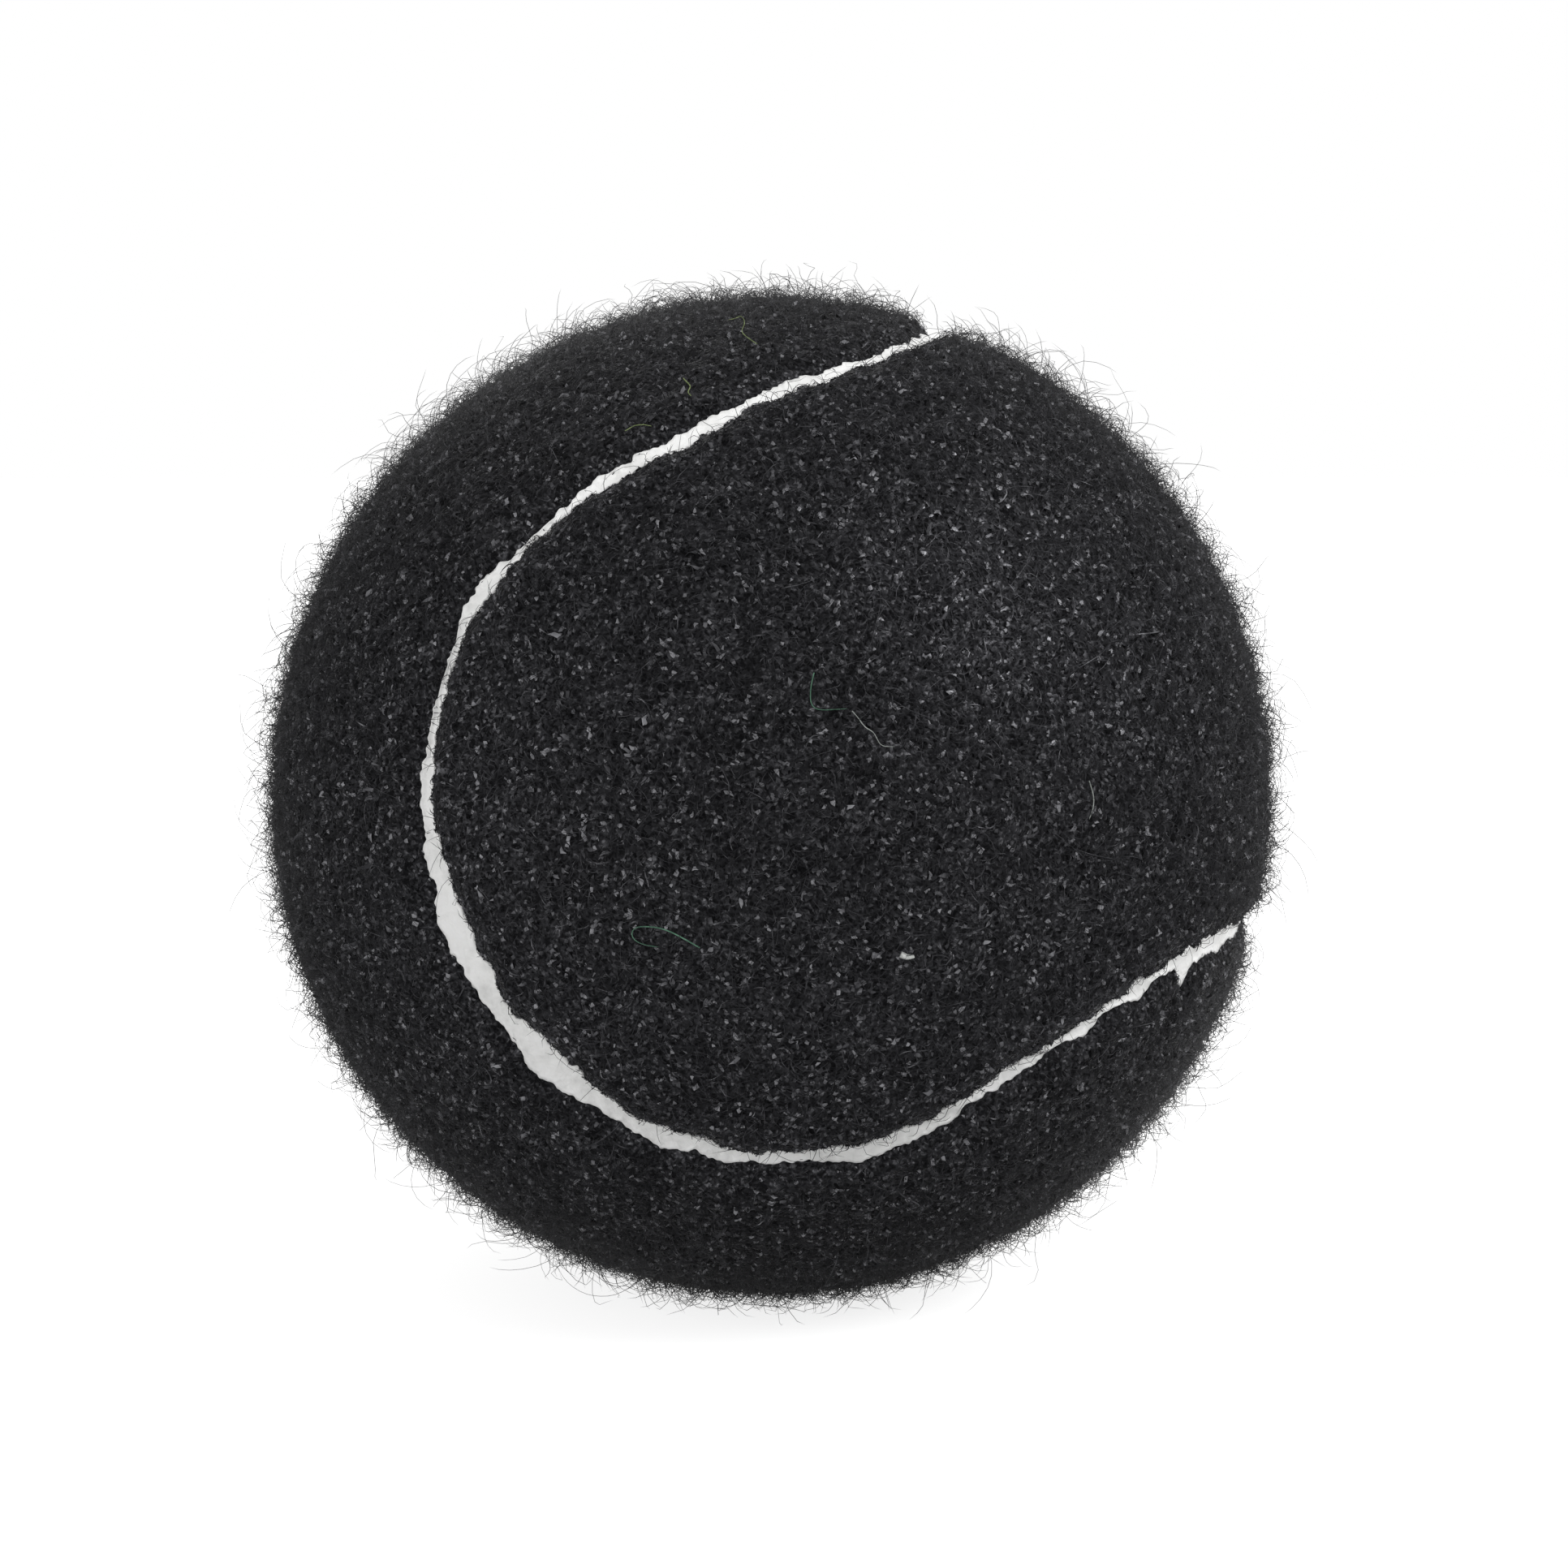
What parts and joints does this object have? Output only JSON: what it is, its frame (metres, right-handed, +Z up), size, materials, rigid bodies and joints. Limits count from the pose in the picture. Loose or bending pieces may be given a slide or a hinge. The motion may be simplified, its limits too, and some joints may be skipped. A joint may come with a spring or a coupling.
{
  "type": "tennis ball",
  "caption": "Hollow rubber ball covered by dumbbell panels of felt with a sunken cement seam line; rolls, bounces and is hit, thrown or fetched.",
  "frame": {"origin": "centre of the ball", "axes": "+Z up from the surface that the ball lies on, -Y towards the viewer of the picture, +X to the viewer's right"},
  "size_m": [0.067, 0.067, 0.067],
  "materials": {
    "core_rubber": "moulded rubber, matt and slightly dusty",
    "rubber_cement": "dried rubber solution, dull and slightly tacky",
    "base_cloth": "plain woven base cloth under the nap",
    "black_nap": "raised felted wool and nylon nap, black, with fine glints and loose fibres",
    "seam_cement": "matt white seam cement with uneven edges"
  },
  "bodies": {
    "root": {"core_upper_half": "core_rubber", "core_lower_half": "core_rubber", "core_joint_cement": "rubber_cement", "core_cement_coat": "rubber_cement", "left_panel_cloth": "base_cloth", "right_panel_cloth": "base_cloth", "left_panel_nap": "black_nap", "right_panel_nap": "black_nap", "seam_strip": "seam_cement"}
  },
  "joints": []
}
